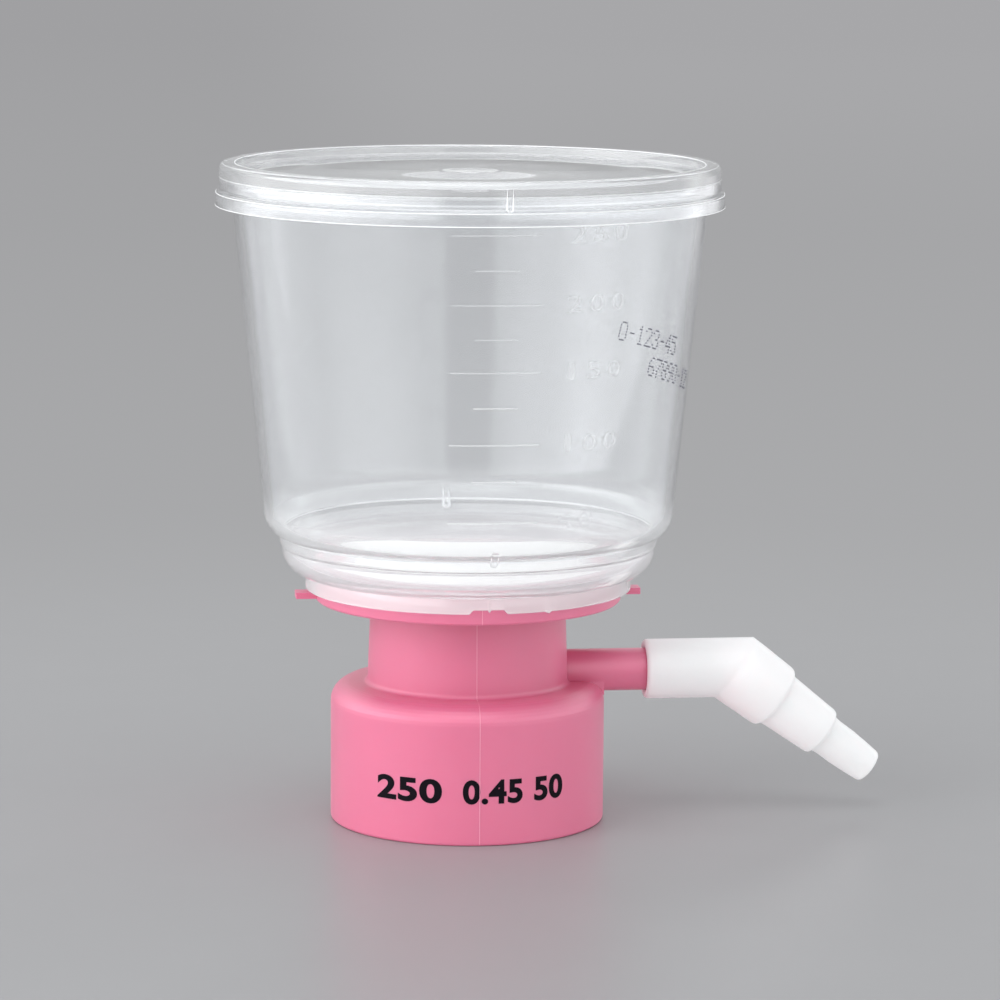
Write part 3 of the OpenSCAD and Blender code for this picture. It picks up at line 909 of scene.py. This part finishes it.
# %% A bead along a path
beading, given = new_tree("bead_on_path", {
    "Bead": "Float", "Run-out": "Float", "Sides": "Int", "Material": "Material"})
path = node(beading, "GeometryNodeMeshToCurve", values={"Mesh": given["Geometry"]})
done = node(beading, "GeometryNodeSplineParameter")
nearest_end = done.math("MINIMUM", done, 1.0 - done)
swell = nearest_end / given["Run-out"]
swell = swell.math("MINIMUM", swell + 0.05, 1.0)
profile = node(beading, "GeometryNodeCurvePrimitiveCircle", values={
    "Resolution": given["Sides"], "Radius": given["Bead"]})
swept = node(beading, "GeometryNodeCurveToMesh", values={
    "Curve": path, "Profile Curve": profile, "Scale": swell, "Fill Caps": True})
close_tree(beading, swept, given["Material"])

def bead_along(name, points, bead, run_out, material, sides=8):
    """A bead of this radius in millimetres along a path in metres."""
    return grow(name, line_mesh(name + "_path", points), beading, {
        "Bead": bead * mm, "Run-out": run_out, "Sides": sides, "Material": material}, smooth_angle=60)

# %% Bottle thread
thread_r, pitch, thread_foot, thread_top, thread_steps = 22.35, 4.0, 3.0, 16.0, 96
helix = []
for i in range(int((thread_top - thread_foot) / pitch * thread_steps) + 1):
    t = 2 * math.pi * i / thread_steps
    z = thread_foot + pitch * i / thread_steps
    helix.append(Vector((thread_r * math.cos(t), thread_r * math.sin(t), z)) * mm)
attach(bead_along("bottle_thread", helix, 1.1, 0.05, pink, sides=14), "unit", "pink_plastic")

# %% Parting lines
def adapter_outline(azimuth, step=0.2 * mm, outside=80 * mm):
    """The adapter's outer outline at an azimuth, found by rays that run in towards the axis."""
    found, inwards = [], -direction(azimuth)
    for k in range(int((flange_top - foot_z) / step)):
        start = Vector((0, 0, foot_z + (k + 0.5) * step)) - inwards * outside
        hit, spot, _, _ = nodes["adapter"].ray_cast(start, inwards)
        if hit:
            found.append(spot)
    return found

for name, azimuth in (("front", -1.2), ("back", 180.0)):
    line = bead_along("parting_line_" + name, adapter_outline(azimuth), 0.06, 0.002, seam_highlight)
    attach(line, "unit", "pink_plastic")

# %% [markdown]
# The lugs of the funnel and the vents of the lid get a painted highlight along their rounded
# edge: a bright U bead with a faint glow. Each is a short path round the lug, and takes the
# same bead. The round edges of the lid and the shoulder get painted highlights all the way
# round: thin bright rings, which the lathe turns from a small circle.

# %% Painted highlights on the edges of the lugs and vents
def lug_path(azimuth, radius, width, low, high):
    """A path down one side of a lug, round its foot and up again, in millimetres."""
    half = width / 2
    foot = [math.radians(a) for a in range(190, 351, 20)]
    flat = [(-half, high), (-half, low + half)]
    flat += [(half * math.cos(t), low + half + half * math.sin(t)) for t in foot]
    flat += [(half, low + half), (half, high)]
    points = []
    for x, z in flat:
        way = direction(azimuth + math.degrees(x / radius(z)))
        points.append(way * radius(z) * mm + Vector((0, 0, z * mm)))
    return points

def inside_shoulder(z):
    """Radius just inside the shoulder's foot at a height."""
    if z < 52.2:
        return 31.5 + 0.3 * (z - 49.6)
    return shoulder[0] - 0.3 + math.sqrt((shoulder_r - wall_thick) ** 2 - (shoulder[1] - z) ** 2)

def lid_side(z):
    """Radius just outside the lid's skirt, above and below its step."""
    return 43.72 if z > 111 else 43.9

glint_paths = (("lug_edge_front", "unit", front_lug, inside_shoulder, 1.15, 50.2, 53.2, 0.17),
             ("lug_edge_back", "unit", back_lug, inside_shoulder, 1.0, 50.5, 54.0, 0.26),
             ("lid_groove_front", "cover", 2.15, lid_side, 1.0, 111.15, 114.9, 0.16),
             ("lid_groove_back", "cover", -177.7, lid_side, 1.35, 110.4, 113.8, 0.15))
for name, body, azimuth, radius, width, low, high, bead in glint_paths:
    path = lug_path(azimuth, radius, width, low, high)
    attach(bead_along(name, path, bead, 0.01, painted_edge_glint), body, "clear_plastic")

# %% Painted highlight rings of the lid and funnel
def ring_outline(r, z, bead, sides=8):
    """A small closed circle beside the axis, for the lathe."""
    turns = [2 * math.pi * k / sides for k in range(sides)]
    return [(r + bead * math.cos(t), z + bead * math.sin(t)) for t in turns]

glint_rings = (("lid_foot_ring", "cover", 44.28, 108.79, 0.08),
              ("lid_step_ring", "cover", 44.2, 110.92, 0.07),
              ("lid_rim_ring", "cover", 43.0, 115.85, 0.08),
              ("lid_lip_ring", "cover", 40.92, 116.0, 0.07),
              ("lid_corner_ring", "cover", 42.35, 113.45, 0.07),
              ("shoulder_ring", "unit", 32.5, 52.0, 0.09))
for name, body, r, z, bead in glint_rings:
    attach(spin(name, ring_outline(r, z, bead), painted_edge_glint, steps=192), body, "clear_plastic")

# %% [markdown]
# ## Hose connector
# The connector turns down by 37 degrees and steps down twice, and its corners are soft.
# It is a loft: rings along the socket, one ring on the mitre of the bend, and rings
# along the leg, out and back again through the bore, so that it is one closed wall.

# %% Rings of the connector
bend = math.radians(37)
nozzle_z, bend_x = 25.9, 47.8
along_leg = Vector((math.cos(bend), 0, -math.sin(bend)))
across_leg = Vector((math.sin(bend), 0, math.cos(bend)))
corner = Vector((bend_x, 0, nozzle_z))
sides = 72
ring_turns = [2 * math.pi * i / sides for i in range(sides)]

def socket_ring(x, r):
    """A ring round the nozzle's line."""
    return [Vector((x, r * math.sin(t), nozzle_z + r * math.cos(t))) for t in ring_turns]

def leg_ring(s, r, width=None, lean=0.0):
    """A ring round the leg, `s` from the bend. It may be oval, and its top may lean back."""
    return [corner + along_leg * (s - lean * math.cos(t)) + across_leg * (r * math.cos(t))
            + Vector((0, (width or r) * math.sin(t), 0)) for t in ring_turns]

def mitre_ring(reach, r, width, shift=0.0):
    """An ellipse on the mitre. `reach` is how far its top leans forward."""
    return [Vector((bend_x + shift + reach * math.cos(t), width * math.sin(t),
                    nozzle_z + r * math.cos(t))) for t in ring_turns]

# %% The connector's outline, ring by ring
socket_r, bore_r, socket_bore = 5.3, 1.7, 3.8
mitre_reach, bore_reach = 3.6, bore_r * math.tan(bend / 2)
# Distance from the bend and radius along the leg: shoulder, three hose steps and the mouth.
leg_profile = (
    (2.2, 6.36), (5.0, 6.25), (8.3, 6.13), (8.75, 6.08), (9.1, 5.95), (9.33, 5.75), (9.42, 5.5),
    (9.7, 5.2), (10.3, 5.1), (11.0, 5.05), (15.0, 4.82), (19.3, 4.6), (19.7, 4.53), (20.0, 4.38),
    (20.15, 4.15), (20.22, 3.95), (20.6, 3.7), (21.2, 3.6), (21.8, 3.55), (24.8, 3.55), (28.0, 3.35),
    (30.3, 3.16), (30.7, 3.05), (30.95, 2.85), (31.08, 2.55), (31.1, 2.2), (31.1, 1.9), (31.0, 1.75),
    (30.7, bore_r))
mouth_profile = ((31.5, 4.45), (31.5, 4.75), (31.62, 5.05), (31.9, 5.24), (32.3, socket_r))
rings = [socket_ring(x, r) for x, r in mouth_profile]
rings += [socket_ring(x, socket_r) for x in (34, 37, 40, 42.5)]
rings += [mitre_ring(mitre_reach, socket_r, width, shift)
          for width, shift in ((socket_r, -1.3), (5.36, -0.5), (5.75, -0.02))]
rings += [leg_ring(0.7, 6.38, 6.2, 0.314)]
rings += [leg_ring(s, r) for s, r in leg_profile]
rings += [leg_ring(s, bore_r) for s in (20.0, 10.0, 3.0)]
rings += [mitre_ring(bore_reach, bore_r, bore_r)]
rings += [socket_ring(x, bore_r) for x in (45.5, 44.2)]
rings += [socket_ring(44.0, r) for r in (1.9, 3.0, socket_bore)]
rings += [socket_ring(x, socket_bore) for x in (40.0, 35.0, 32.0)]
rings += [socket_ring(31.6, socket_bore + 0.3)]
print(len(rings), "rings of", sides, "points")

# %% Loft of the connector
loft = bpy.data.meshes.new("hose_connector_loft")
faces = []
for k in range(len(rings)):
    a, b = k * sides, (k + 1) % len(rings) * sides
    faces += [(a + i, a + (i + 1) % sides, b + (i + 1) % sides, b + i) for i in range(sides)]
loft.from_pydata([tuple(p * mm) for ring in rings for p in ring], [], faces)
solid = bmesh.new()
solid.from_mesh(loft)
bmesh.ops.recalc_face_normals(solid, faces=solid.faces)
solid.to_mesh(loft)
solid.free()
connector = new_object("stepped_connector", shade(loft, 50), white)
attach(connector, "elbow", "white_plastic", "hose_connector")

# %% [markdown]
# ## Last checks
# Every new piece should be closed and face outwards: a closed mesh has two faces at each
# edge, and its signed volume is positive when its faces point out. The box of the whole
# object is then written beside that of the CAD model.

# %% Closed and outward
for piece in new_pieces:
    solid = bmesh.new()
    solid.from_mesh(piece.data)
    open_edges = sum(1 for e in solid.edges if len(e.link_faces) != 2)
    volume = solid.calc_volume(signed=True) / mm ** 3
    print(piece.name, round(volume, 1), "mm3,", open_edges, "open edges")
    solid.free()

# %% Box and finish
low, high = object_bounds()
for label, box in (("CAD box", cad_box), ("visual box", (low, high))):
    print(label, [[round(v, 4) for v in c] for c in box])
